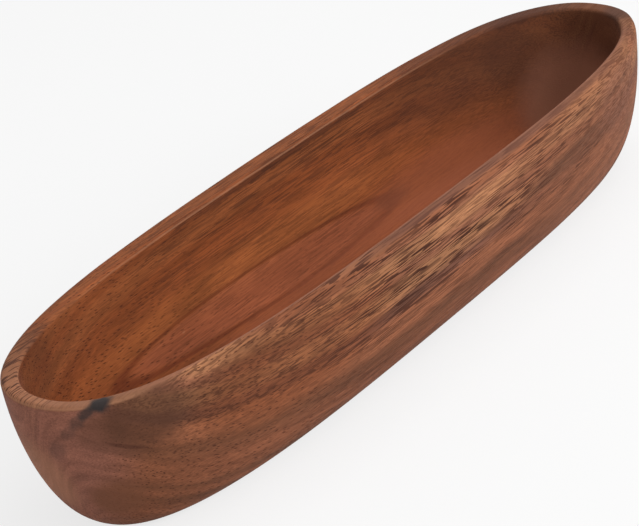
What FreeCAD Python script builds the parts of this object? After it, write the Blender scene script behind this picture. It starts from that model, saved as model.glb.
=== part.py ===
import FreeCAD, Part
import os

import Sketcher
from FreeCAD import Vector

# A long, narrow snack boat carved from one block of acacia, with a flat base and a flat, level rim.
# Frame: +X along the boat, +Y across it, +Z up, origin at the middle of the base, millimetres.

SIZES = {
    # hull, measured on the outside
    "rim_length": 380,
    "rim_width": 103,
    "boat_height": 61,
    "base_length": 335,
    "base_width": 61,
    # wood left by the carving
    "wall_side": 8.5,
    "wall_end": 7.4,
    "floor_thickness": 8.5,
    # the opening was carved a little nearer to one end and one side
    "opening_shift_x": -1.8,
    "opening_shift_y": -1.1,
    # broken edges of the rim
    "rim_outer_round": 1.8,
    "rim_inner_round": 1.5,
    # how far each long side runs before it turns in to the end, as a share of the half length
    "rim_fullness": 0.479,
    "base_fullness": 0.581,
    "opening_fullness": 0.548,
    # how blunt the ends are, as a share of the half width
    "end_fullness": 0.98,
    # how round the wall rises from the base, 1 is a straight slope and 2 a quarter of an ellipse
    "end_roundness": 1.776,
    "side_roundness": 2.175,
}

# The wall rises along a quarter turn, from 0 degrees at the base to 90 degrees at the rim.
RISE_ANGLES = (0, 15, 30, 45, 60, 75, 90)

# How a constraint names the two axes, the origin and the centre of a circle.
X_AXIS_INDEX = -1
Y_AXIS_INDEX = -2
ORIGIN_INDEX = 1
CENTRE_INDEX = 3

CURVE_DEGREE = 3
POLES_PER_QUARTER = 4

# A face this near the rim's height is the rim.
LEVEL_TOLERANCE = 0.01


def make_sheet(doc):
    """The driving dimensions, one to a row."""
    sheet = doc.addObject("Spreadsheet::Sheet", "Sizes")
    for row, (alias, value) in enumerate(SIZES.items(), start=1):
        sheet.set(f"A{row}", alias)
        sheet.set(f"B{row}", str(value))
        sheet.setAlias(f"B{row}", alias)
    doc.recompute()
    return sheet


def quarter_poles(side_x, side_y):
    """Control points of a quarter of the rim, from the middle of a long side to the tip of an end."""
    length = side_x * SIZES["rim_length"] / 2
    width = side_y * SIZES["rim_width"] / 2
    return [
        Vector(0, width),
        Vector(length * SIZES["rim_fullness"], width),
        Vector(length, width * SIZES["end_fullness"]),
        Vector(length, 0),
    ]


def add_quarter(sketch, side_x, side_y):
    """A quarter outline, drawn as the rim's until it is dimensioned; returns its four control points."""
    poles = quarter_poles(side_x, side_y)
    curve = Part.BSplineCurve(poles, None, None, False, CURVE_DEGREE, None, False)
    curve_index = sketch.addGeometry(curve, False)
    sketch.exposeInternalGeometry(curve_index)
    return [curve_index + 1 + step for step in range(POLES_PER_QUARTER)]


def mirror_points(sketch, points, copies, axis):
    """Holds each copy opposite its point across an axis."""
    for point, copy in zip(points, copies):
        rule = Sketcher.Constraint("Symmetric", point, CENTRE_INDEX, copy, CENTRE_INDEX, axis)
        sketch.addConstraint(rule)


def join_points(sketch, first, second):
    """Two quarters share the control point where they meet."""
    sketch.addConstraint(Sketcher.Constraint("Coincident", first, CENTRE_INDEX, second, CENTRE_INDEX))


def name_distance(sketch, direction, point, drawn_at, name, formula):
    """A named distance of a control point from the centre, bound to a formula on the sheet."""
    constraint = Sketcher.Constraint(direction, X_AXIS_INDEX, ORIGIN_INDEX, point, CENTRE_INDEX, drawn_at)
    index = sketch.addConstraint(constraint)
    sketch.renameConstraint(index, name)
    sketch.setExpression(f"Constraints.{name}", formula)


def add_outline(body, name, station):
    """A closed outline, level with the base, drawn as four quarters that mirror each other."""
    sketch = body.newObject("Sketcher::SketchObject", name)
    plane = next(item for item in body.Origin.OriginFeatures if item.Role == "XY_Plane")
    sketch.AttachmentSupport = (plane, [""])
    sketch.MapMode = "FlatFace"
    for axis in "xyz":
        sketch.setExpression(f"AttachmentOffset.Base.{axis}", station[axis])

    drawn = add_quarter(sketch, 1, 1)
    opposite_end = add_quarter(sketch, -1, 1)
    opposite_side = add_quarter(sketch, 1, -1)
    diagonal = add_quarter(sketch, -1, -1)
    side_middle, side_handle, end_handle, end_tip = drawn

    for rule, point, other in (
        ("PointOnObject", side_middle, (Y_AXIS_INDEX,)),
        ("PointOnObject", end_tip, (X_AXIS_INDEX,)),
        ("Horizontal", side_middle, (side_handle, CENTRE_INDEX)),
        ("Vertical", end_handle, (end_tip, CENTRE_INDEX)),
    ):
        sketch.addConstraint(Sketcher.Constraint(rule, point, CENTRE_INDEX, *other))
    mirror_points(sketch, drawn[1:], opposite_end[1:], Y_AXIS_INDEX)
    mirror_points(sketch, drawn[:3], opposite_side[:3], X_AXIS_INDEX)
    mirror_points(sketch, opposite_side[1:3], diagonal[1:3], Y_AXIS_INDEX)
    join_points(sketch, side_middle, opposite_end[0])
    join_points(sketch, end_tip, opposite_side[3])
    join_points(sketch, opposite_side[0], diagonal[0])
    join_points(sketch, opposite_end[3], diagonal[3])

    middle, side, end, tip = quarter_poles(1, 1)
    name_distance(sketch, "DistanceX", end_tip, tip.x, "half_length", station["half_length"])
    name_distance(sketch, "DistanceY", side_middle, middle.y, "half_width", station["half_width"])
    name_distance(sketch, "DistanceX", side_handle, side.x, "side_run",
                  f".Constraints.half_length * ({station['fullness']})")
    name_distance(sketch, "DistanceY", end_handle, end.y, "end_run",
                  ".Constraints.half_width * Sizes.end_fullness")
    return sketch


def rise(angle, low, high, roundness):
    """Formula of a size that grows from low at the base to high at the rim."""
    share = f"(1 - cos({angle} deg) ^ {roundness}) ^ (1 / {roundness})"
    return f"({low}) + (({high}) - ({low})) * {share}"


def hull_station(angle):
    """The outside of the hull at one height."""
    climb = f"(1 - cos({angle} deg))"
    return {
        "x": "0",
        "y": "0",
        "z": f"Sizes.boat_height * {climb}",
        "half_length": rise(angle, "Sizes.base_length / 2", "Sizes.rim_length / 2", "Sizes.end_roundness"),
        "half_width": rise(angle, "Sizes.base_width / 2", "Sizes.rim_width / 2", "Sizes.side_roundness"),
        "fullness": f"Sizes.base_fullness + (Sizes.rim_fullness - Sizes.base_fullness) * {climb}",
    }


def cavity_station(angle):
    """The hollow at one height, one wall inside the hull's own outline."""
    climb = f"(1 - cos({angle} deg))"
    return {
        "x": "Sizes.opening_shift_x",
        "y": "Sizes.opening_shift_y",
        "z": f"Sizes.floor_thickness + (Sizes.boat_height - Sizes.floor_thickness) * {climb}",
        "half_length": rise(angle, "Sizes.base_length / 2 - Sizes.wall_end",
                            "Sizes.rim_length / 2 - Sizes.wall_end", "Sizes.end_roundness"),
        "half_width": rise(angle, "Sizes.base_width / 2 - Sizes.wall_side",
                           "Sizes.rim_width / 2 - Sizes.wall_side", "Sizes.side_roundness"),
        "fullness": "Sizes.opening_fullness",
    }


def add_loft(body, kind, name, station_at):
    """A smooth skin through the outlines at all heights, which adds or removes wood."""
    outlines = [add_outline(body, f"{name}_outline_{angle}", station_at(angle)) for angle in RISE_ANGLES]
    loft = body.newObject(kind, name)
    loft.Profile = outlines[0]
    loft.Sections = outlines[1:]
    loft.Ruled = False
    return loft


def rim_edges(shape, height):
    """The names of the rim's outer edges and of its inner edges."""
    rim = next(face for face in shape.Faces if abs(face.CenterOfMass.z - height) < LEVEL_TOLERANCE)
    outer = []
    inner = []
    for number, edge in enumerate(shape.Edges, start=1):
        if any(edge.isSame(border) for border in rim.OuterWire.Edges):
            outer.append(f"Edge{number}")
        elif any(edge.isSame(border) for border in rim.Edges):
            inner.append(f"Edge{number}")
    return outer, inner


def round_edges(doc, body, name, base, edges, radius):
    """Breaks sharp edges to the radius that the sheet names."""
    fillet = body.newObject("PartDesign::Fillet", name)
    fillet.Base = (base, edges)
    fillet.setExpression("Radius", f"Sizes.{radius}")
    doc.recompute()
    return fillet


def make_snack_boat(doc, sheet):
    """The whole boat: a carved hull, hollowed, with the edges of its rim sanded round."""
    body = doc.addObject("PartDesign::Body", "snack_boat")
    body.Label = "snack_boat"
    body.Placement = FreeCAD.Placement(Vector(0, 0, 0), FreeCAD.Rotation())
    add_loft(body, "PartDesign::AdditiveLoft", "hull", hull_station)
    hollow = add_loft(body, "PartDesign::SubtractiveLoft", "hollow", cavity_station)
    doc.recompute()
    outer, _ = rim_edges(hollow.Shape, sheet.boat_height)
    outside = round_edges(doc, body, "outer_round", hollow, outer, "rim_outer_round")
    _, inner = rim_edges(outside.Shape, sheet.boat_height)
    round_edges(doc, body, "inner_round", outside, inner, "rim_inner_round")
    return body


def check(doc, bodies):
    """Stops with a message if anything in the model failed."""
    doc.recompute()
    for item in doc.Objects:
        if "Invalid" in item.State or "Error" in item.State:
            raise RuntimeError(f"{item.Label} is {item.State}")
    for body in bodies:
        if body.Shape.isNull() or not body.Shape.isValid():
            raise RuntimeError(f"{body.Label} has no valid shape")
        if len(body.Shape.Solids) != 1:
            raise RuntimeError(f"{body.Label} is not one solid")


def main():
    doc = FreeCAD.newDocument("snack_boat")
    sheet = make_sheet(doc)
    bodies = [make_snack_boat(doc, sheet)]
    check(doc, bodies)
    os.makedirs("parts", exist_ok=True)
    for body in bodies:
        body.Shape.exportStep(os.path.join("parts", f"{body.Label}.step"))
        box = body.Shape.BoundBox
        print(body.Label, "volume", round(body.Shape.Volume), "mm3, box",
              round(box.XLength, 2), round(box.YLength, 2), round(box.ZLength, 2))


main()
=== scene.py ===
import math
from functools import partial

import bpy
from bpy.props import (
    FloatProperty,
    FloatVectorProperty,
    IntProperty,
    PointerProperty,
)
from mathutils import Matrix, Vector, noise


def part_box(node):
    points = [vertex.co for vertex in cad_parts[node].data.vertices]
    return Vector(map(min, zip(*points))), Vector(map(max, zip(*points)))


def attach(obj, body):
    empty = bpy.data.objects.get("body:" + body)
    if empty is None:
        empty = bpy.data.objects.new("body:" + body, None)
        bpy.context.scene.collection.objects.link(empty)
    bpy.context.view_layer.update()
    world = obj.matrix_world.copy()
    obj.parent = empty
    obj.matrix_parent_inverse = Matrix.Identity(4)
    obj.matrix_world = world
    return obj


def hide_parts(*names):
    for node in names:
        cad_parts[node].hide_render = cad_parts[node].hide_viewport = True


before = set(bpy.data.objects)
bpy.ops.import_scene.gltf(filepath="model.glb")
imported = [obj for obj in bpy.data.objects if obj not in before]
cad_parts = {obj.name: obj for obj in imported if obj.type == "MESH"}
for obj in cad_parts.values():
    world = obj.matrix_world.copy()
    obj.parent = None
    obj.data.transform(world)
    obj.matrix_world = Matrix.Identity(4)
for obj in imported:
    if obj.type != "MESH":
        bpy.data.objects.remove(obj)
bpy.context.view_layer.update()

bl_info = {
    "name": "Carved Snack Boat",
    "version": (1, 0, 0),
    "blender": (4, 5, 0),
    "location": "View3D > Sidebar > Snack Boat",
    "description": "A long, narrow snack boat carved from one block of acacia, with its studio",
    "category": "Object",
}

BOAT_NODE = "snack_boat"
BOAT_PIECE = "carved_boat"
BODY = "root"

LOW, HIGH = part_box(BOAT_NODE)
MM = 0.001


def linear(hex_colour):
    """An sRGB hex colour as linear red, green and blue."""
    channels = [int(hex_colour[start:start + 2], 16) / 255 for start in (0, 2, 4)]
    return tuple(c / 12.92 if c <= 0.04045 else ((c + 0.055) / 1.055) ** 2.4 for c in channels)


def length(name, description, millimetres):
    """A length that the user can change."""
    return FloatProperty(name=name, description=description, default=millimetres * MM,
                         min=0, unit="LENGTH", precision=4)


def ratio(name, description, value):
    """A plain number that the user can change."""
    return FloatProperty(name=name, description=description, default=value, precision=3)


def colour(name, description, hex_colour):
    """A colour that the user can change."""
    return FloatVectorProperty(name=name, description=description, default=linear(hex_colour),
                               subtype="COLOR", size=3, min=0, max=1)


class BoatSizes(bpy.types.PropertyGroup):
    """The carved shape, as the frame holds it."""
    rim_length: length("Rim length", "Over the ends, outside of the rim", (HIGH.x - LOW.x) / MM)
    rim_width: length("Rim width", "Across the middle, outside of the rim", (HIGH.y - LOW.y) / MM)
    height: length("Height", "From the base to the rim", (HIGH.z - LOW.z) / MM)
    base_length: length("Base length", "Of the flat that the boat stands on", 335)
    base_width: length("Base width", "Of the flat that the boat stands on", 61)
    wall_side: length("Side wall", "Thickness of the long walls", 8.5)
    wall_end: length("End wall", "Thickness of the walls at the ends", 7.4)
    floor_thickness: length("Floor", "Wood left under the hollow", 8.5)
    opening_shift: FloatVectorProperty(
        name="Opening shift", description="How far off centre the hollow was carved",
        default=(-1.8 * MM, -1.1 * MM), size=2, unit="LENGTH", precision=4)
    outer_round: length("Outer round", "Sanded radius on the outer edge of the rim", 1.8)
    soft_round: length("Soft round", "Radius of that edge along the near side, sanded rounder", 4.8)
    inner_round: length("Inner round", "Sanded radius on the inner edge of the rim", 1.5)
    rim_fullness: ratio("Rim fullness", "How far the long sides of the rim run straight", 0.479)
    base_fullness: ratio("Base fullness", "How far the long sides of the base run straight", 0.581)
    opening_fullness: ratio("Opening fullness", "How far the sides of the hollow run straight",
                            0.548)
    end_fullness: ratio("End fullness", "How blunt the ends are", 0.98)
    end_roundness: ratio("End roundness", "How round the end walls rise from the base", 1.776)
    side_roundness: ratio("Side roundness", "How round the long walls rise from the base", 2.175)


class CarvingMesh(bpy.types.PropertyGroup):
    """How finely the shape is drawn, and the unevenness that hand sanding leaves."""
    quarter_columns: IntProperty(name="Columns", description="Faces round a quarter of the boat",
                                 default=72, min=8)
    wall_rows: IntProperty(name="Wall rows", description="Faces up each wall", default=26, min=4)
    round_rows: IntProperty(name="Round rows", description="Faces round each edge of the rim",
                            default=6, min=2)
    floor_rows: IntProperty(name="Floor rows", description="Faces across the base and the floor",
                            default=12, min=2)
    unevenness: length("Unevenness", "How far the hand-sanded walls dip at most", 0.25)
    rim_unevenness: length("Rim unevenness", "How far the hand-sanded rim dips at most", 0.15)
    dip_spacing: length("Dip spacing", "Distance between the dips", 40)


class BOAT_OT_carve(bpy.types.Operator):
    """Carve the boat and finish its wood"""
    bl_idname = "boat.carve"
    bl_label = "Carve Boat"

    def execute(self, context):
        make_boat(context.scene)
        return {"FINISHED"}


class BOAT_OT_studio(bpy.types.Operator):
    """Set up the pale floor, the soft lamps and the camera"""
    bl_idname = "boat.studio"
    bl_label = "Set Up Studio"

    def execute(self, context):
        make_studio(context.scene)
        return {"FINISHED"}


# The carved shape

# Where the rim's outer edge turns from crisp to soft, in millimetres: along the near side from the
# left end, and across the right end from the far side.
SOFT_RIM_START = (-180, -158)
SOFT_RIM_END = (-18, -38)

# Steps in which a quarter of the rim is measured along its curve.
OUTLINE_STEPS = 400


def rise(angle, low, high, roundness):
    """A size that grows from low at the base to high at the rim, along a rounded quarter turn."""
    share = max(0.0, 1 - math.cos(angle) ** roundness) ** (1 / roundness)
    return low + (high - low) * share


def quarter_point(share, half_length, half_width, fullness, end_fullness):
    """A point on a quarter outline, from the middle of a long side, at 0, to the tip, at 1."""
    left = 1 - share
    side = 3 * share * left * left
    end = 3 * share * share * left
    x = half_length * (side * fullness + end + share ** 3)
    y = half_width * (left ** 3 + side + end * end_fullness)
    return x, y


def even_shares(sizes, columns):
    """Places along a quarter of the rim that are the same distance apart."""
    steps = OUTLINE_STEPS
    points = [
        quarter_point(step / steps, sizes.rim_length / 2, sizes.rim_width / 2,
                      sizes.rim_fullness, sizes.end_fullness)
        for step in range(steps + 1)
    ]
    run = [0.0]
    for first, second in zip(points, points[1:]):
        run.append(run[-1] + math.dist(first, second))
    shares = []
    step = 0
    for column in range(columns + 1):
        wanted = run[-1] * column / columns
        while step < steps - 1 and run[step + 1] < wanted:
            step += 1
        part = (wanted - run[step]) / (run[step + 1] - run[step])
        shares.append(min(1.0, (step + part) / steps))
    return shares


def outline(shares, half_length, half_width, fullness, end_fullness, height, shift=(0, 0)):
    """One closed row of points at one height, starting at the middle of the +Y side."""
    quarter = [
        quarter_point(share, half_length, half_width, fullness, end_fullness)
        for share in shares
    ]
    loop = [(x, y) for x, y in quarter[:-1]]
    loop += [(x, -y) for x, y in reversed(quarter[1:])]
    loop += [(-x, -y) for x, y in quarter[:-1]]
    loop += [(-x, y) for x, y in reversed(quarter[1:])]
    return [Vector((x + shift[0], y + shift[1], height)) for x, y in loop]


def wall_row(sizes, shares, angle, inside, inset=0.0, height=None):
    """The hull's outline, or the hollow's, at one angle of its rise, moved in by inset."""
    wall_end = sizes.wall_end if inside else 0
    wall_side = sizes.wall_side if inside else 0
    bottom = sizes.floor_thickness if inside else 0
    climb = 1 - math.cos(angle)
    half_length = rise(angle, sizes.base_length / 2, sizes.rim_length / 2, sizes.end_roundness)
    half_width = rise(angle, sizes.base_width / 2, sizes.rim_width / 2, sizes.side_roundness)
    fullness = sizes.base_fullness + (sizes.rim_fullness - sizes.base_fullness) * climb
    if inside:
        fullness = sizes.opening_fullness
    if height is None:
        height = bottom + (sizes.height - bottom) * climb
    return outline(shares, half_length - wall_end - inset, half_width - wall_side - inset,
                   fullness, sizes.end_fullness, height, sizes.opening_shift if inside else (0, 0))


def carved_rows(sizes, mesh):
    """All rows of the boat, from the edge of the base up, over the rim and down to the floor."""
    shares = even_shares(sizes, mesh.quarter_columns)
    rows = []

    # the outer wall, up to where the widest round of the rim starts, and on to the sanded round
    soft_angle = math.acos(sizes.soft_round / sizes.height)
    top_angle = math.acos(sizes.outer_round / sizes.height)
    for row in range(mesh.wall_rows + 1):
        rows.append(wall_row(sizes, shares, soft_angle * row / mesh.wall_rows, False))
    for row in range(1, mesh.round_rows + 1):
        angle = soft_angle + (top_angle - soft_angle) * row / mesh.round_rows
        rows.append(wall_row(sizes, shares, angle, False))
    wall_top = rows[-1]

    # the outer round of the rim
    for row in range(1, mesh.round_rows + 1):
        turn = math.pi / 2 * row / mesh.round_rows
        inset = sizes.outer_round * (1 - math.cos(turn))
        height = sizes.height - sizes.outer_round * (1 - math.sin(turn))
        rows.append(wall_row(sizes, shares, top_angle, False, inset, height))

    # the flat of the rim
    hollow_depth = sizes.height - sizes.floor_thickness
    inner_angle = math.acos(sizes.inner_round / hollow_depth)
    inner_edge = wall_row(sizes, shares, inner_angle, True, -sizes.inner_round, sizes.height)
    outer_edge = rows[-1]
    for row in range(1, mesh.round_rows):
        share = row / mesh.round_rows
        rows.append([first.lerp(second, share) for first, second in zip(outer_edge, inner_edge)])
    soften_rim(rows, wall_top, inner_edge, sizes)

    # its inner round
    for row in range(mesh.round_rows + 1):
        turn = math.pi / 2 * row / mesh.round_rows
        inset = -sizes.inner_round * (1 - math.sin(turn))
        height = sizes.height - sizes.inner_round * (1 - math.cos(turn))
        rows.append(wall_row(sizes, shares, inner_angle, True, inset, height))

    # the inner wall, down to the floor
    for row in range(1, mesh.wall_rows + 1):
        rows.append(wall_row(sizes, shares, inner_angle * (1 - row / mesh.wall_rows), True))
    return rows


def smooth_share(value, low, high):
    """Where a value lies from low, at 0, to high, at 1, with a soft start and end."""
    share = min(1.0, max(0.0, (value - low) / (high - low)))
    return share * share * (3 - 2 * share)


def soften_rim(rows, wall_top, inner_edge, sizes):
    """Rounds the rim's outer edge further along the near side and the right end."""
    for column, (outside, inside) in enumerate(zip(wall_top, inner_edge)):
        along = smooth_share(outside.x, SOFT_RIM_START[0] * MM, SOFT_RIM_START[1] * MM)
        across = smooth_share(outside.y, SOFT_RIM_END[0] * MM, SOFT_RIM_END[1] * MM)
        radius = sizes.outer_round + (sizes.soft_round - sizes.outer_round) * along * across
        inward = Vector((inside.x - outside.x, inside.y - outside.y, 0)).normalized()
        for row in rows:
            point = row[column]
            depth = (point - outside).dot(inward)
            from_centre = Vector((depth - radius, point.z - sizes.height + radius))
            if from_centre.x < 0 < from_centre.y and from_centre.length > radius:
                on_round = from_centre.normalized() * radius
                point += inward * (on_round.x - from_centre.x)
                point.z += on_round.y - from_centre.y


def fill_level(vertices, faces, loop, rows, upwards):
    """Closes a level outline with strips that run from one long side to the other."""
    count = len(loop)
    half = count // 2
    quarter = count // 4
    # loop[quarter] is the +X tip and loop[3 * quarter] the -X tip
    pairs = [
        (loop[(quarter - step) % count], loop[(quarter + step) % count])
        for step in range(half + 1)
    ]
    strips = []
    for first, second in pairs:
        if first == second:
            strips.append([first])
            continue
        strip = [first]
        for row in range(1, rows):
            share = row / rows
            vertices.append(vertices[first].lerp(vertices[second], share))
            strip.append(len(vertices) - 1)
        strips.append(strip + [second])
    for near, far in zip(strips, strips[1:]):
        for row in range(rows):
            corners = [
                near[min(row, len(near) - 1)],
                near[min(row + 1, len(near) - 1)],
                far[min(row + 1, len(far) - 1)],
                far[min(row, len(far) - 1)],
            ]
            # beside a tip two of the corners are the same point, which is kept once
            corners = list(dict.fromkeys(corners))
            faces.append(corners[::-1] if upwards else corners)


def sanded(point, sizes, mesh):
    """A point of the finished shape, moved in and down by the dips that hand sanding leaves."""
    dip = max(0.0, noise.noise(point / mesh.dip_spacing))
    above_base = min(1.0, point.z / sizes.floor_thickness)
    inward = Vector((-point.x * sizes.rim_width / sizes.rim_length, -point.y, 0))
    if inward.length > sizes.wall_side:
        point = point + inward.normalized() * mesh.unevenness * dip * above_base
    near_rim = smooth_share(point.z, sizes.floor_thickness, sizes.height)
    point.z -= mesh.rim_unevenness * dip * near_rim
    return point


def make_mesh(sizes, mesh):
    """The boat as one closed mesh."""
    rows = carved_rows(sizes, mesh)
    count = len(rows[0])
    vertices = [point for row in rows for point in row]
    faces = []
    for row in range(len(rows) - 1):
        for column in range(count):
            beside = (column + 1) % count
            faces.append([(row + 1) * count + column, (row + 1) * count + beside,
                          row * count + beside, row * count + column])
    fill_level(vertices, faces, list(range(count)), mesh.floor_rows, False)
    last = (len(rows) - 1) * count
    fill_level(vertices, faces, list(range(last, last + count)), mesh.floor_rows, True)
    data = bpy.data.meshes.new(BOAT_PIECE)
    data.from_pydata([tuple(sanded(point, sizes, mesh)) for point in vertices], [], faces)
    data.shade_smooth()
    data.validate()
    return data


def make_boat(scene):
    """The boat, which stands for the frame's solid and rides on its body."""
    data = make_mesh(scene.boat_sizes, scene.boat_mesh)
    boat = bpy.data.objects.new(BOAT_PIECE, data)
    scene.collection.objects.link(boat)
    data.materials.append(oiled_acacia(scene.boat_wood, scene.boat_sizes))
    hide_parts(BOAT_NODE)
    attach(boat, BODY)


# The finish of the wood

# Layers of the block, from the bottom up: the height of each in millimetres, and its wood.
LAYERS = (
    (-30, "brown"),
    (-18, "shade"),
    (-10, "brown"),
    (-3, "shade"),
    (1, "brown"),
    (4.2, "shade"),
    (7, "brown"),
    (15, "brown"),
    (20.5, "shade"),
    (22.5, "shade"),
    (26.5, "orange"),
    (32, "orange"),
    (34.8, "dark"),
    (37, "dark"),
    (40.5, "golden"),
    (44.5, "golden"),
    (47, "tan"),
    (49, "tan"),
    (52, "golden"),
    (56, "golden"),
    (58.5, "tan"),
    (61, "orange"),
    (67, "golden"),
    (71, "tan"),
    (75, "orange"),
    (90, "golden"),
)

# How far the layers are lifted above these heights, across the boat: place and lift in millimetres.
LIFTS = (
    (-52, 0), (-44, -4), (-36, -4), (-28, 0), (-20, 4), (-12, 6), (0, -10), (10, -26), (20, -20),
    (28, -15), (34, -6), (38, 2.5), (42, 12), (47, 20), (52, 21),
)

# Along the boat the layers are level in the middle, then bend up towards both ends: how far the
# level part reaches in millimetres, and the factor and the power of the bend.
LEVEL_REACH = 60
BEND_FACTOR = 0.0148
BEND_POWER = 1.5

# They also wander: over what length, and how far from one extreme to the other, in millimetres.
WANDER_LENGTH = 55
WANDER_RANGE = 2

# Patterns of the wood, each by its size in millimetres along the boat, across it and up. A single
# fibre is far too fine to show, so bundles of them are drawn.
RAGGED_EDGES = (24, 2.2, 0.75)
STREAK_PATCHES = (30, 8, 3.5)
CLOUDS = (45, 14, 4)
FIBRES = (14, 0.7, 0.45)

# How far a ragged edge reaches into the next layer at most, in millimetres.
RAGGED_REACH = 2.8

# How far a dark line reaches into the wood, as a multiple of its width.
LINE_DEPTH = 1.5

# Levels of the noise, from 0 to 1: where a pattern starts to show and where it shows in full.
# Clouds and fibres use all but the rare lowest and highest levels.
PATCH_LEVELS = (0.34, 0.6)
STREAK_LEVELS = (0.46, 0.76)
FINE_LINE_LEVELS = (0.485, 0.56)
HATCH_LEVELS = (0.5, 0.57)
USUAL_LEVELS = (0.3, 0.7)

# A pore is full out to the first distance from its middle and ends at the second, as shares of the
# distance between pores. Pores and fine lines are drawn about twice as wide as real ones, so that
# they show.
PORE_EDGE = (0.16, 0.32)

# The next places are in millimetres along the boat, from -190 at the left end to 190 at the right
# one, or across it, from -51.5 on the near side to 51.5 on the far one. A pair of them is where a
# look starts to change and where it has changed.

# The figure is strong in the upper layers, here by their height. It fades towards both ends and the
# far side, most of all in the left part of the hollow.
STRONG_LAYERS = (25, 36)
FIGURE_FROM_LEFT = (-140, -50)
FIGURE_TO_RIGHT = (20, 150)
FIGURE_TO_FAR_SIDE = (0, 30)
LEFT_OF_HOLLOW = (-120, -40)

# The wood gets more even and warmer towards the far side.
EVEN_TO_FAR_SIDE = (-25, 25)

# The plain wood of the left end, and of the right part, where it shows more on the near side.
PLAIN_LEFT_END = (-184, -168)
PLAIN_RIGHT_PART = (0, 150)
PLAIN_TO_FAR_SIDE = (-15, 15)

# The pores are clearer in the left part of the boat, and faint on its left tip.
PORES_FROM_LEFT_TIP = (-183, -177)

# The rim: how far below its top its look starts and is full, where the plain wood of the left end
# starts to fade below it, and where the painted highlight line of a worn edge runs.
RIM_START = 1.6
RIM_FULL = 0.6
PLAIN_FADE = 1.8
EDGE_HIGHLIGHT = 0.9

# Its left end is paler, with a hatch that is faint on the near side. How long and how deep one line
# of the hatch is.
PALE_LEFT_RIM = (-180, -145)
HATCHED_LEFT_RIM = (-172, -130)
HATCH_FROM_NEAR_SIDE = (-16, 14)
HATCH_LENGTH = 9
HATCH_DEPTH = 4

# The near rim is rubbed smooth in the middle, from the left and to the right. Outwards from the
# opening the painted highlight on its inner edge ends first, and the smooth part after it.
NEAR_RIM = (-38, -20)
SMOOTH_FROM_LEFT = (-95, -35)
SMOOTH_TO_RIGHT = (80, 140)
SMOOTH_OUTWARDS = (4.5, 6)
HIGHLIGHT_OUTWARDS = (1.4, 2.2)

# The worn edges of the left end and of the far rim carry a painted highlight, in a line that fades
# away at this distance from its middle.
LEFT_EDGE_HIGHLIGHT = (-180, -164)
FAR_EDGE_HIGHLIGHT = (36, 42)
EDGE_HIGHLIGHT_REACH = (0.1, 0.5)

# Lines and pores are this much lower than the wood beside them, in millimetres. The roughness is
# that of the oiled wood and of the open grain. The oil refracts as oils do, and its satin gloss is
# as low as the photograph shows it.
GRAIN_DEPTH = 0.15
GRAIN_ROUGHNESS = (0.68, 0.85)
OIL_IOR = 1.5
OIL_SPECULAR = 0.12

# The layer cut as a closed oval: middle and half size in millimetres, and its tilt along the boat
# in degrees. As shares of the half size: where it fades out, and how far from its edge the red line
# round it is full and ends.
OVAL_MIDDLE = (-30, 35, 18.2)
OVAL_SIZE = (91, 24, 7.2)
OVAL_TILT = 1.8
OVAL_FADE = (0.8, 1)
RED_LINE = (0.02, 0.12)

# Marks in the wood: middle and half size in millimetres, turn about the boat's length in degrees,
# colour and strength. They fade between two shares of their half size. Their edges are uneven: over
# what length, and how far from one extreme to the other, in millimetres.
MARK_FADE = (0.5, 1.2)
MARK_EDGE_LENGTH = 4
MARK_EDGE_RANGE = 3

# Darker and lighter places under the lines of the grain.
SHADES = (
    # along the near wall's upper left
    ((-138, -40, 50), (34, 14, 9), -8, "umber", 0.5),
    ((-105, -46, 44), (62, 14, 20), 0, "heart", 0.5),
    ((-112, -46, 44), (52, 14, 20), 0, "umber", 0.3),
    # along the near wall's right part
    ((90, -46, 42), (75, 16, 30), 0, "brown", 0.75),
    # its golden band and the dark one below it, which run on level to the right end
    ((110, -47, 55.5), (60, 14, 7), 0, "golden", 0.7),
    ((95, -47, 39.5), (62, 14, 5.5), 0, "umber", 0.85),
    # where the near wall turns in to the right end
    ((130, -45, 46), (26, 12, 20), 0, "worn", 0.6),
    # the foot of the far wall, lightened with painted light
    ((-30, 33, 29), (115, 14, 10), 0, "painted_light_amber", 0.75),
)

# Places that hide the lines of the grain.
MARKS = (
    # on the left end: low down, a painted sheen past the middle, and beside the stain
    ((-176, -18, 20), (12, 10, 11), 20, "shade", 0.75),
    ((-185, 6, 26), (8, 14, 22), 0, "rim", 0.35),
    ((-180, -22, 50), (12, 9, 9), 0, "umber", 0.5),
    ((-170, -32, 52), (20, 14, 16), 0, "umber", 0.8),
    # the dark right part of the hollow, and its far wall there: partly darker wood, partly painted
    # shade
    ((195, 8, 54), (140, 46, 46), 0, "umber", 0.68),
    ((125, 38, 50), (75, 12, 22), 0, "streak", 0.45),
    # the hollow's left end, with painted shade, and under the far rim, dark wood and painted shadow
    ((-166, 26, 54), (22, 24, 22), 0, "streak", 0.5),
    ((-150, 38, 52), (30, 12, 18), 0, "streak", 0.25),
    ((20, 44, 58), (150, 14, 9), 0, "streak", 0.15),
    ((12, 42, 58.5), (80, 6, 1.9), 0, "streak", 0.6),
    # the right tip of the closed oval
    ((60, 32, 16), (14, 6, 4), 4, "umber", 0.45),
    # the lighter floor to the right, and painted light along its middle, where the near wall shades
    # it
    ((95, 18, 15), (80, 30, 12), 0, "rose", 0.5),
    ((20, 23, 9), (150, 8, 6), 0, "rose", 0.45),
    # the paler right end of the hollow
    ((164, 3, 21), (26, 24, 32), 0, "end", 0.75),
    ((165, 3, 22), (26, 22, 28), 0, "rim", 0.25),
    # the far wall beside that end, and the far rim above it
    ((156, 29, 47), (18, 10, 15), 0, "streak", 0.4),
    ((163, 26, 61), (26, 12, 3), 0, "streak", 0.55),
    # on the rim at the right end
    ((186, -10, 60), (10, 22, 7), 0, "shade", 0.5),
)

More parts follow.
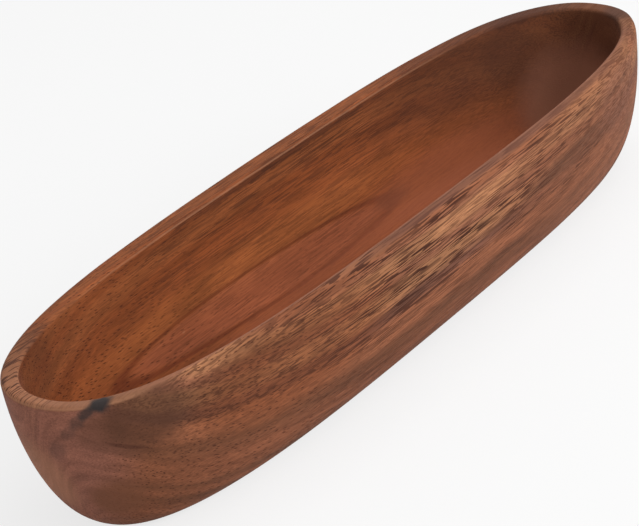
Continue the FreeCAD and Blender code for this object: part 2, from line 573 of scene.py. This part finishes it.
# The mineral stain: it crosses the rim along the grain and fades down the left end. Fainter ones
# lie on the rim at the right end.
STAINS = (
    ((-179.8, -23.2, 60.6), (6.5, 3.7, 3), 0, "stain", 1),
    ((-183.6, -20, 58.4), (3.2, 2.6, 3.8), 40, "stain", 0.8),
    ((-185.3, -16.8, 55), (3.2, 2.6, 4.2), 40, "stain", 0.45),
    ((-186.8, -13, 51), (3.2, 2.6, 4.5), 40, "stain", 0.28),
    ((-187.8, -6.9, 42.4), (3.5, 3.5, 6), 30, "stain", 0.28),
    ((184, -17, 61), (11, 10, 3), 0, "stain", 0.35),
    ((168, 22, 61), (34, 18, 2), 0, "stain", 0.15),
)

# Small marks, with smooth edges.
FINE_MARKS = (
    # pale specks of mineral in the far wall of the hollow
    ((-78, 31.5, 21.5), (2.2, 3, 0.8), 0, "speck", 1),
    ((51, 29.5, 16), (1.8, 2.5, 0.7), 0, "speck", 0.5),
    # the edge of a thin dark layer on the left end
    ((-174.5, -26.5, 42.5), (10, 7, 0.9), 38, "pore", 0.5),
)


class WoodLook(bpy.types.PropertyGroup):
    """The colours of the acacia, and the size of its figure."""
    golden: colour("Golden", "Lightest layers", "A6714E")
    tan: colour("Tan", "Bands between the lightest layers", "8D5A41")
    orange: colour("Orange", "Warm layers", "925A3E")
    brown: colour("Brown", "Plain reddish heartwood", "845037")
    heart: colour("Heart", "Even, warmer wood on the far side of the block", "8F4A22")
    # It also paints light along the middle of the floor.
    rose: colour("Rose", "Pinkish wood inside the closed oval", "A05A3E")
    red: colour("Red", "Thin red line round the closed oval", "662C1A")
    # Its cool grey is partly a painted sheen from the white surroundings.
    end: colour("End", "Cool, plain wood of the left end", "8E5C4C")
    shade: colour("Shade", "Soft dark layers", "70452F")
    # Painted light on the foot of the far wall.
    painted_light_amber: colour("Amber", "Lighter band along the foot of the far wall", "A05C32")
    # It also paints shade in the right part of the hollow.
    umber: colour("Umber", "Dark wood beside the stain and under the rim", "553526")
    dark: colour("Dark", "Strong purple-brown layers", "6E4636")
    # It also paints shade in the hollow's left end and right part, and a shadow under the far rim.
    streak: colour("Streak", "Dark streaks", "4A2A1E")
    pore: colour("Pore", "Open pores", "44241A")
    # On the worn edges of the left end and far rim it is a painted highlight, and on the left end
    # past the middle a painted sheen.
    rim: colour("Rim", "Dry, lighter wood on the worn edges of the rim", "B48060")
    worn: colour("Worn", "Smooth, greyer wood along the top of the near rim", "6E4739")
    # Painted highlight: this colour lines the inner edge of the near rim.
    edge: colour("Edge", "Lighter wood along the inner edge of the near rim", "98664F")
    stain: colour("Stain", "Grey-black mineral stain by the rim", "352F2E")
    speck: colour("Speck", "Pale specks of mineral", "D8B08C")
    streak_length: length("Streak length", "How far one dark streak runs along the grain", 30)
    streak_width: length("Streak width", "How wide one dark streak is", 1.4)
    fibre_length: length("Fibre length", "How far one fine dark line runs along the grain", 12)
    fibre_width: length("Fibre width", "How wide one fine dark line is", 0.5)
    hatch_width: length("Hatch width", "How wide one line of the rim's hatch is", 0.7)
    pore_length: length("Pore length", "How far apart the open pores are along the grain", 4.5)
    pore_width: length("Pore width", "How far apart the open pores are across the grain", 0.9)


def add_node(tree, kind, inputs=(), stops=None, **settings):
    """Adds one node with its settings, its values and links, and the points of its ramp or curve.

    The values and links are a list in the order of the node's inputs, or a dict by input.
    """
    node = tree.nodes.new(kind)
    for name, value in settings.items():
        setattr(node, name, value)
    if not isinstance(inputs, dict):
        inputs = dict(enumerate(inputs))
    for socket, value in inputs.items():
        if isinstance(value, bpy.types.NodeSocket):
            tree.links.new(value, node.inputs[socket])
        else:
            node.inputs[socket].default_value = value
    if stops and kind == "ShaderNodeFloatCurve":
        points = node.mapping.curves[0].points
        points[0].location, points[-1].location = stops[0], stops[-1]
        for place in stops[1:-1]:
            points.new(*place)
        node.mapping.update()
    elif stops:
        elements = node.color_ramp.elements
        elements[0].position, elements[0].color = stops[0]
        elements[-1].position, elements[-1].color = stops[-1]
        for place, shade in stops[1:-1]:
            elements.new(place).color = shade
    return node


def share_between(value, low, high):
    """Where a value lies from low, at 0, to high, at 1."""
    return (value - low) / (high - low)


def stretched_noise(add, place, sizes, detail):
    """Noise whose grains have the given sizes in millimetres along X, Y and Z."""
    scaled = add("ShaderNodeVectorMath", [place, [1 / size for size in sizes]],
                 operation="MULTIPLY").outputs[0]
    return add("ShaderNodeTexNoise", {"Vector": scaled, "Scale": 1, "Detail": detail}).outputs[0]


def grain_place(add):
    """A point's place in the block in millimetres, plain and straightened.

    In the straightened place the layers lie level along the boat.
    """
    where = add("ShaderNodeTexCoord").outputs["Object"]
    plain = add("ShaderNodeVectorMath", {0: where, "Scale": 1 / MM}, operation="SCALE").outputs[0]
    bend = add("ShaderNodeSeparateXYZ", [plain]).outputs[0]
    for operation, number in (
        ("ABSOLUTE", 0), ("SUBTRACT", LEVEL_REACH), ("MAXIMUM", 0), ("POWER", BEND_POWER),
        ("MULTIPLY", -BEND_FACTOR),
    ):
        bend = add("ShaderNodeMath", [bend, number], operation=operation).outputs[0]
    down = add("ShaderNodeCombineXYZ", [0, 0, bend]).outputs[0]
    straight = add("ShaderNodeVectorMath", [plain, down], operation="ADD").outputs[0]
    wander = add("ShaderNodeTexNoise", {"Vector": plain, "Scale": 1 / WANDER_LENGTH, "Detail": 1})
    centred = add("ShaderNodeVectorMath", [wander.outputs["Color"], (0.5, 0.5, 0.5)],
                  operation="SUBTRACT").outputs[0]
    straight = add("ShaderNodeVectorMath", [centred, (0, WANDER_RANGE, WANDER_RANGE), straight],
                   operation="MULTIPLY_ADD").outputs[0]
    return plain, straight


def stack_height(add, grain):
    """A point's height in the stack of layers, in millimetres."""
    first, last = LIFTS[0][0], LIFTS[-1][0]
    low = min(lift for _, lift in LIFTS)
    high = max(lift for _, lift in LIFTS)
    stops = [
        (share_between(place, first, last), share_between(lift, low, high))
        for place, lift in LIFTS
    ]
    across = add("ShaderNodeMapRange", [grain[1], first, last]).outputs[0]
    curve = add("ShaderNodeFloatCurve", {1: across}, stops).outputs[0]
    lift = add("ShaderNodeMapRange", [curve, 0, 1, low, high]).outputs[0]
    return add("ShaderNodeMath", [grain[2], lift], operation="SUBTRACT").outputs[0]


def figure_strength(add, grain, height):
    """How strongly the grain's dark lines and the ragged edges of its layers show."""
    strong = add("ShaderNodeMapRange", [height, *STRONG_LAYERS, 0.5, 1],
                 interpolation_type="SMOOTHSTEP").outputs[0]
    hollow = add("ShaderNodeMapRange", [grain[0], *LEFT_OF_HOLLOW, 0.4, 0.6]).outputs[0]
    calm = add("ShaderNodeMapRange", [grain[1], *FIGURE_TO_FAR_SIDE, 1, hollow],
               interpolation_type="SMOOTHSTEP").outputs[0]
    right = add("ShaderNodeMapRange", [grain[0], *FIGURE_TO_RIGHT, 1, 0.75],
                interpolation_type="SMOOTHSTEP").outputs[0]
    left = add("ShaderNodeMapRange", [grain[0], *FIGURE_FROM_LEFT, 0.6, 1],
               interpolation_type="SMOOTHSTEP").outputs[0]
    figure = strong
    for share in (calm, right, left):
        figure = add("ShaderNodeMath", [figure, share], operation="MULTIPLY").outputs[0]
    return figure


def layer_colours(add, look, in_mm, grain, height, figure):
    """The colours of the layers, with ragged edges, and more even on the far side."""
    ragged = stretched_noise(add, in_mm, RAGGED_EDGES, 1)
    ragged = add("ShaderNodeMapRange", [ragged, 0, 1, -RAGGED_REACH, RAGGED_REACH]).outputs[0]
    height = add("ShaderNodeMath", [ragged, figure, height], operation="MULTIPLY_ADD").outputs[0]
    bottom, top = LAYERS[0][0], LAYERS[-1][0]
    layer = add("ShaderNodeMapRange", [height, bottom, top]).outputs[0]
    stops = [
        (share_between(level, bottom, top), (*getattr(look, name), 1))
        for level, name in LAYERS
    ]
    wood = add("ShaderNodeValToRGB", [layer], stops).outputs[0]
    even = add("ShaderNodeMapRange", [grain[1], *EVEN_TO_FAR_SIDE, 0, 0.78],
               interpolation_type="SMOOTHSTEP").outputs[0]
    return add("ShaderNodeMix", {0: even, 6: wood, 7: (*look.heart, 1)},
               data_type="RGBA").outputs[2]


def mark_place(add, in_mm):
    """A point's place in millimetres, moved about so that the edges of a mark are uneven."""
    moved = add("ShaderNodeTexNoise", {"Vector": in_mm, "Scale": 1 / MARK_EDGE_LENGTH, "Detail": 2})
    moved = add("ShaderNodeVectorMath", [moved.outputs["Color"], [MARK_EDGE_RANGE] * 3, in_mm],
                operation="MULTIPLY_ADD").outputs[0]
    return add("ShaderNodeVectorMath", [moved, [MARK_EDGE_RANGE / 2] * 3],
               operation="SUBTRACT").outputs[0]


def lay_marks(add, wood, look, marks, place):
    """Oval marks with soft edges, laid over the wood's colour."""
    for middle, half_size, turn, name, strength in marks:
        inside = add("ShaderNodeMapping", [place, middle, (math.radians(turn), 0, 0), half_size],
                     vector_type="TEXTURE").outputs[0]
        reach = add("ShaderNodeVectorMath", [inside], operation="LENGTH").outputs["Value"]
        mask = add("ShaderNodeMapRange", [reach, *MARK_FADE, strength, 0],
                   interpolation_type="SMOOTHSTEP").outputs[0]
        wood = add("ShaderNodeMix", {0: mask, 6: wood, 7: (*getattr(look, name), 1)},
                   data_type="RGBA").outputs[2]
    return wood


def lay_oval(add, wood, look, in_mm):
    """The layer that is cut as a closed oval, with a thin red line round it."""
    inside = add("ShaderNodeMapping",
                 [in_mm, OVAL_MIDDLE, (0, math.radians(OVAL_TILT), 0), OVAL_SIZE],
                 vector_type="TEXTURE").outputs[0]
    reach = add("ShaderNodeVectorMath", [inside], operation="LENGTH").outputs["Value"]
    mask = add("ShaderNodeMapRange", [reach, *OVAL_FADE, 0.6, 0],
               interpolation_type="SMOOTHSTEP").outputs[0]
    wood = add("ShaderNodeMix", {0: mask, 6: wood, 7: (*look.rose, 1)},
               data_type="RGBA").outputs[2]
    off = add("ShaderNodeMath", [reach, 1], operation="SUBTRACT").outputs[0]
    off = add("ShaderNodeMath", [off], operation="ABSOLUTE").outputs[0]
    mask = add("ShaderNodeMapRange", [off, *RED_LINE, 0.6, 0],
               interpolation_type="SMOOTHSTEP").outputs[0]
    return add("ShaderNodeMix", {0: mask, 6: wood, 7: (*look.red, 1)},
               data_type="RGBA").outputs[2]


def lay_lines(add, wood, look, in_mm, layered, figure):
    """Dark streaks in patches, and finer lines. Also gives how strongly the finer ones show."""
    patches = stretched_noise(add, layered, STREAK_PATCHES, 1)
    patches = add("ShaderNodeMapRange", [patches, *PATCH_LEVELS, 0.5, 1],
                  interpolation_type="SMOOTHSTEP").outputs[0]
    for run, width, levels, strength in (
        (look.streak_length, look.streak_width, STREAK_LEVELS, 0.25),
        (look.fibre_length, look.fibre_width, FINE_LINE_LEVELS, 1),
    ):
        line = stretched_noise(add, in_mm, (run / MM, LINE_DEPTH * width / MM, width / MM), 0)
        line = add("ShaderNodeMapRange", [line, *levels, 0, strength],
                   interpolation_type="SMOOTHSTEP").outputs[0]
        for share in (patches, figure):
            line = add("ShaderNodeMath", [line, share], operation="MULTIPLY").outputs[0]
        wood = add("ShaderNodeMix", {0: line, 6: wood, 7: (*look.streak, 1)},
                   data_type="RGBA").outputs[2]
    return wood, line


def plain_ends(add, wood, look, place, rim_top):
    """Plain wood at the ends, where the cut runs along a layer."""
    below = add("ShaderNodeMapRange",
                [place[2], rim_top - PLAIN_FADE, rim_top - RIM_FULL, 0.85, 0.3]).outputs[0]
    plain = add("ShaderNodeMapRange", [place[0], *PLAIN_LEFT_END, below, 0],
                interpolation_type="SMOOTHSTEP").outputs[0]
    # the left end's cool grey is partly a painted sheen
    wood = add("ShaderNodeMix", {0: plain, 6: wood, 7: (*look.end, 1)},
               data_type="RGBA").outputs[2]
    near_side = add("ShaderNodeMapRange", [place[1], *PLAIN_TO_FAR_SIDE, 0.3, 0.05]).outputs[0]
    plain = add("ShaderNodeMapRange", [place[0], *PLAIN_RIGHT_PART, 0, near_side],
                interpolation_type="SMOOTHSTEP").outputs[0]
    return add("ShaderNodeMix", {0: plain, 6: wood, 7: (*look.tan, 1)},
               data_type="RGBA").outputs[2]


def shade_wood(add, wood, in_mm, layered):
    """Soft clouds and fine fibres, both lighter and darker than the wood."""
    for place, size, detail, depth in ((layered, CLOUDS, 2, 0.2), (in_mm, FIBRES, 1, 0.16)):
        shade = stretched_noise(add, place, size, detail)
        shade = add("ShaderNodeMapRange",
                    [shade, *USUAL_LEVELS, 1 - depth, 1 + depth]).outputs[0]
        wood = add("ShaderNodeVectorMath", {0: wood, "Scale": shade}, operation="SCALE").outputs[0]
    return wood


def open_pores(add, look, straight, place):
    """How strongly the open pores show at a point."""
    spacing = [MM / size for size in (look.pore_length, look.pore_width, look.pore_width)]
    scaled = add("ShaderNodeVectorMath", [straight, spacing], operation="MULTIPLY").outputs[0]
    cell = add("ShaderNodeTexVoronoi", {"Vector": scaled, "Scale": 1}).outputs["Distance"]
    left = add("ShaderNodeMapRange", [place[0], *LEFT_OF_HOLLOW, 0.75, 0.25]).outputs[0]
    tip = add("ShaderNodeMapRange", [place[0], *PORES_FROM_LEFT_TIP, 0.2, 0.75]).outputs[0]
    depth = add("ShaderNodeMath", [left, tip], operation="MINIMUM").outputs[0]
    return add("ShaderNodeMapRange", [cell, *PORE_EDGE, depth, 0],
               interpolation_type="SMOOTHSTEP").outputs[0]


def hatch_rim(add, wood, look, in_mm, place, on_rim):
    """The rim cuts the grain's lines short at the ends, where they show as a fine hatch."""
    pale = add("ShaderNodeMapRange", [place[0], *PALE_LEFT_RIM, 0.45, 0]).outputs[0]
    pale = add("ShaderNodeMath", [pale, on_rim], operation="MULTIPLY").outputs[0]
    wood = add("ShaderNodeMix", {0: pale, 6: wood, 7: (*look.rim, 1)},
               data_type="RGBA").outputs[2]
    hatch = stretched_noise(add, in_mm, (HATCH_LENGTH, look.hatch_width / MM, HATCH_DEPTH), 0)
    hatch = add("ShaderNodeMapRange", [hatch, *HATCH_LEVELS, 0, 0.9],
                interpolation_type="SMOOTHSTEP").outputs[0]
    left_end = add("ShaderNodeMapRange", [place[0], *HATCHED_LEFT_RIM, 1, 0.2]).outputs[0]
    fading = add("ShaderNodeMapRange", [place[1], *HATCH_FROM_NEAR_SIDE, 0.1, 1]).outputs[0]
    for share in (on_rim, left_end, fading):
        hatch = add("ShaderNodeMath", [hatch, share], operation="MULTIPLY").outputs[0]
    return add("ShaderNodeMix", {0: hatch, 6: wood, 7: (*look.streak, 1)},
               data_type="RGBA").outputs[2]


def opening_edge(add, place, sizes):
    """How far a point of the rim lies outside the opening, across the boat, in millimetres."""
    half_length = (sizes.rim_length / 2 - sizes.wall_end) / MM
    half_width = (sizes.rim_width / 2 - sizes.wall_side) / MM
    edge = place[0]
    # the outline of the opening is close to an ellipse of the third power
    for operation, number in (
        ("SUBTRACT", sizes.opening_shift[0] / MM), ("DIVIDE", half_length), ("ABSOLUTE", 0),
        ("MINIMUM", 1), ("POWER", 3), ("MULTIPLY", -1), ("ADD", 1), ("POWER", 1 / 3),
        ("MULTIPLY", half_width),
    ):
        edge = add("ShaderNodeMath", [edge, number], operation=operation).outputs[0]
    across = add("ShaderNodeMath", [place[1], sizes.opening_shift[1] / MM],
                 operation="SUBTRACT").outputs[0]
    across = add("ShaderNodeMath", [across], operation="ABSOLUTE").outputs[0]
    return add("ShaderNodeMath", [across, edge], operation="SUBTRACT").outputs[0]


def rub_near_rim(add, wood, look, sizes, place, on_rim):
    """The near rim's middle is rubbed smooth and grey-brown, with a painted highlight on its inner
    edge.
    """
    outwards = opening_edge(add, place, sizes)
    near = add("ShaderNodeMapRange", [place[1], *NEAR_RIM, 1, 0]).outputs[0]
    left = add("ShaderNodeMapRange", [place[0], *SMOOTH_FROM_LEFT]).outputs[0]
    right = add("ShaderNodeMapRange", [place[0], *SMOOTH_TO_RIGHT, 0.75, 0.25]).outputs[0]
    smooth = add("ShaderNodeMapRange", [outwards, *SMOOTH_OUTWARDS, right, 0]).outputs[0]
    light = add("ShaderNodeMapRange", [outwards, *HIGHLIGHT_OUTWARDS, 0.8, 0]).outputs[0]
    for mask, shares, name in (
        (smooth, (near, left, on_rim), "worn"),
        # the lighter inner edge is a painted highlight
        (light, (near, on_rim), "edge"),
    ):
        for share in shares:
            mask = add("ShaderNodeMath", [mask, share], operation="MULTIPLY").outputs[0]
        wood = add("ShaderNodeMix", {0: mask, 6: wood, 7: (*getattr(look, name), 1)},
                   data_type="RGBA").outputs[2]
    return wood


def paint_edge_highlights(add, wood, look, place, rim_top):
    """A painted highlight along the worn edges of the left end and of the far rim."""
    off = add("ShaderNodeMath", [place[2], rim_top - EDGE_HIGHLIGHT], operation="SUBTRACT").outputs[0]
    off = add("ShaderNodeMath", [off], operation="ABSOLUTE").outputs[0]
    left = add("ShaderNodeMapRange", [place[0], *LEFT_EDGE_HIGHLIGHT, 0.4, 0]).outputs[0]
    far = add("ShaderNodeMapRange", [place[1], *FAR_EDGE_HIGHLIGHT, 0, 0.4]).outputs[0]
    worn = add("ShaderNodeMath", [left, far], operation="MAXIMUM").outputs[0]
    worn = add("ShaderNodeMapRange", [off, *EDGE_HIGHLIGHT_REACH, worn, 0],
               interpolation_type="SMOOTHSTEP").outputs[0]
    return add("ShaderNodeMix", {0: worn, 6: wood, 7: (*look.rim, 1)},
               data_type="RGBA").outputs[2]


def oiled_acacia(look, sizes):
    """Acacia carved along the grain, sanded by hand and rubbed with oil.

    The cut runs through bent layers, so the outer wall shows dark bands that sag from the ends to
    the middle, and the hollow shows one layer as a closed oval. The grain's dark lines run straight
    along the boat, long where the wall is cut along them and short where it turns across them. The
    oil has soaked in and leaves a low satin gloss.
    """
    material = bpy.data.materials.new("hand_oiled_acacia")
    material.use_nodes = True
    tree = material.node_tree
    add = partial(add_node, tree)
    in_mm, straight = grain_place(add)
    place = add("ShaderNodeSeparateXYZ", [in_mm]).outputs
    grain = add("ShaderNodeSeparateXYZ", [straight]).outputs
    height = stack_height(add, grain)
    layered = add("ShaderNodeCombineXYZ", [grain[0], grain[1], height]).outputs[0]
    figure = figure_strength(add, grain, height)
    ragged = mark_place(add, in_mm)
    rim_top = sizes.height / MM
    on_rim = add("ShaderNodeMapRange",
                 [place[2], rim_top - RIM_START, rim_top - RIM_FULL]).outputs[0]

    # from the wood itself to what lies over it
    wood = layer_colours(add, look, in_mm, grain, height, figure)
    wood = lay_marks(add, wood, look, SHADES, ragged)
    wood = lay_oval(add, wood, look, in_mm)
    wood, fine_lines = lay_lines(add, wood, look, in_mm, layered, figure)
    wood = plain_ends(add, wood, look, place, rim_top)
    wood = shade_wood(add, wood, in_mm, layered)
    pores = open_pores(add, look, straight, place)
    wood = add("ShaderNodeMix", {0: pores, 6: wood, 7: (*look.pore, 1)},
               data_type="RGBA").outputs[2]
    wood = lay_marks(add, wood, look, MARKS, ragged)
    wood = hatch_rim(add, wood, look, in_mm, place, on_rim)
    # the near rim's inner edge gets a painted highlight
    wood = rub_near_rim(add, wood, look, sizes, place, on_rim)
    # painted highlights along the worn edges of the left end and of the far rim
    wood = paint_edge_highlights(add, wood, look, place, rim_top)
    wood = lay_marks(add, wood, look, STAINS, ragged)
    wood = lay_marks(add, wood, look, FINE_MARKS, in_mm)

    # lines and pores are a little lower than the wood beside them, and duller
    open_grain = add("ShaderNodeMath", [pores, fine_lines], operation="ADD").outputs[0]
    relief = add("ShaderNodeMath", [open_grain, -1], operation="MULTIPLY").outputs[0]
    bump = add("ShaderNodeBump",
               {"Height": relief, "Distance": GRAIN_DEPTH * MM, "Strength": 0.5}).outputs[0]
    roughness = add("ShaderNodeMapRange", [open_grain, 0, 1, *GRAIN_ROUGHNESS]).outputs[0]
    shader = tree.nodes["Principled BSDF"]
    tree.links.new(wood, shader.inputs["Base Color"])
    tree.links.new(bump, shader.inputs["Normal"])
    tree.links.new(roughness, shader.inputs["Roughness"])
    shader.inputs["IOR"].default_value = OIL_IOR
    shader.inputs["Specular IOR Level"].default_value = OIL_SPECULAR
    return material


# The studio

# The camera's sensor in millimetres, and how many times nearer and farther than the boat it sees.
SENSOR_WIDTH = 36
CLIP_RANGE = 20

# How much of the light matt white paper scatters.
PAPER_WHITE = 0.8

# Lamps: name, place in metres, side in metres and power in watts. All face the boat's middle.
LAMPS = (
    ("window", (0.35, -1.3, 0.85), 0.9, 16),
    ("ceiling", (0.5, -0.1, 1.6), 1.2, 8),
)


class StudioSetup(bpy.types.PropertyGroup):
    """The camera, the room's light and the floor."""
    lens: FloatProperty(name="Lens", description=f"Focal length on a {SENSOR_WIDTH} mm sensor",
                        default=115.2, unit="CAMERA")
    azimuth: ratio("Azimuth", "Camera angle round the boat from its near side, in degrees", -49)
    elevation: ratio("Elevation", "Camera angle above the floor, in degrees", 26.62)
    roll: ratio("Roll", "Camera turned about its own axis, in degrees", -9.3)
    distance: length("Distance", "From the middle of the boat to the camera", 826)
    step_right: length("Step right", "Boat's middle, right of the picture's", 19.4)
    step_up: length("Step up", "Boat's middle, above the picture's", 9.5)
    room_light: ratio("Room light", "Even light from the white surroundings", 0.5)
    floor_size: length("Floor size", "Side of the pale floor", 8000)
    floor_glow: ratio("Floor glow", "How far the floor shows as plain white to the camera", 0.75)


def make_camera(scene, studio):
    """The camera at the photograph's viewing angle."""
    azimuth = math.radians(studio.azimuth)
    elevation = math.radians(studio.elevation)
    roll = math.radians(studio.roll)
    back = Vector((
        math.sin(azimuth) * math.cos(elevation),
        -math.cos(azimuth) * math.cos(elevation),
        math.sin(elevation),
    ))
    level_right = Vector((0, 0, 1)).cross(back).normalized()
    level_up = back.cross(level_right)
    right = level_right * math.cos(roll) + level_up * math.sin(roll)
    up = level_up * math.cos(roll) - level_right * math.sin(roll)
    middle = Vector((0, 0, (LOW.z + HIGH.z) / 2))
    place = middle + back * studio.distance - right * studio.step_right - up * studio.step_up
    data = bpy.data.cameras.new("camera")
    data.lens = studio.lens
    data.sensor_width = SENSOR_WIDTH
    data.clip_start = studio.distance / CLIP_RANGE
    data.clip_end = studio.distance * CLIP_RANGE
    camera = bpy.data.objects.new("camera", data)
    turn = Matrix((right, up, back)).transposed().to_4x4()
    camera.matrix_world = Matrix.Translation(place) @ turn
    scene.collection.objects.link(camera)
    scene.camera = camera


def make_lamps(scene):
    """Large soft lamps that face the boat."""
    for name, place, side, power in LAMPS:
        data = bpy.data.lights.new(name, "AREA")
        data.size = side
        data.energy = power
        lamp = bpy.data.objects.new(name, data)
        lamp.location = place
        lamp.rotation_euler = Vector(place).to_track_quat("Z", "Y").to_euler()
        scene.collection.objects.link(lamp)


def seen_directly(add):
    """1 for what the camera sees, also reflected or through glass, and 0 for the light it gives."""
    path = add("ShaderNodeLightPath").outputs
    seen = path["Is Camera Ray"]
    for ray in ("Is Glossy Ray", "Is Transmission Ray"):
        seen = add("ShaderNodeMath", [seen, path[ray]], operation="MAXIMUM").outputs[0]
    return seen


def make_room(scene, studio):
    """White surroundings, which show white and give a plain level of light."""
    world = bpy.data.worlds.new("white_room")
    world.use_nodes = True
    scene.world = world
    tree = world.node_tree
    add = partial(add_node, tree)
    strength = add("ShaderNodeMapRange",
                   [seen_directly(add), 0, 1, studio.room_light, 1]).outputs[0]
    background = tree.nodes["Background"]
    background.inputs["Color"].default_value = (1, 1, 1, 1)
    tree.links.new(strength, background.inputs["Strength"])


def white_paper(studio):
    """Matt white paper: it scatters light evenly, and shows nearly white with a faint shadow."""
    material = bpy.data.materials.new("matt_white_paper")
    material.use_nodes = True
    tree = material.node_tree
    add = partial(add_node, tree)
    shader = tree.nodes["Principled BSDF"]
    shader.inputs["Base Color"].default_value = (PAPER_WHITE, PAPER_WHITE, PAPER_WHITE, 1)
    shader.inputs["Roughness"].default_value = 1
    shader.inputs["Specular IOR Level"].default_value = 0
    glow = add("ShaderNodeEmission", [(1, 1, 1, 1)]).outputs[0]
    share = add("ShaderNodeMath", [seen_directly(add), studio.floor_glow],
                operation="MULTIPLY").outputs[0]
    mixed = add("ShaderNodeMixShader", [share, shader.outputs[0], glow]).outputs[0]
    tree.links.new(mixed, tree.nodes["Material Output"].inputs["Surface"])
    return material


def make_floor(scene, studio):
    """The pale floor that the boat stands on."""
    half = studio.floor_size / 2
    corners = [(-half, -half, 0), (half, -half, 0), (half, half, 0), (-half, half, 0)]
    data = bpy.data.meshes.new("floor")
    data.from_pydata(corners, [], [(0, 1, 2, 3)])
    data.materials.append(white_paper(studio))
    floor = bpy.data.objects.new("floor", data)
    scene.collection.objects.link(floor)


def make_studio(scene):
    """Everything round the boat."""
    studio = scene.boat_studio
    make_camera(scene, studio)
    make_lamps(scene)
    make_room(scene, studio)
    make_floor(scene, studio)
    scene.view_settings.view_transform = "Standard"


class BOAT_PT_panel(bpy.types.Panel):
    """Lists the boat's sizes, colours and steps"""
    bl_label = "Snack Boat"
    bl_idname = "BOAT_PT_panel"
    bl_space_type = "VIEW_3D"
    bl_region_type = "UI"
    bl_category = "Snack Boat"

    def draw(self, context):
        layout = self.layout
        for name in GROUPS:
            group = getattr(context.scene, name)
            box = layout.box()
            box.label(text=group.__doc__ or name)
            for key in group.__annotations__:
                box.prop(group, key)
        layout.operator("boat.carve")
        layout.operator("boat.studio")


GROUPS = {
    "boat_sizes": BoatSizes,
    "boat_mesh": CarvingMesh,
    "boat_wood": WoodLook,
    "boat_studio": StudioSetup,
}
CLASSES = (*GROUPS.values(), BOAT_OT_carve, BOAT_OT_studio, BOAT_PT_panel)


def register():
    for item in CLASSES:
        bpy.utils.register_class(item)
    for name, group in GROUPS.items():
        setattr(bpy.types.Scene, name, PointerProperty(type=group))


def unregister():
    for name in GROUPS:
        delattr(bpy.types.Scene, name)
    for item in reversed(CLASSES):
        bpy.utils.unregister_class(item)


def main():
    register()
    bpy.ops.boat.carve()
    bpy.ops.boat.studio()


if __name__ == "__main__":
    main()
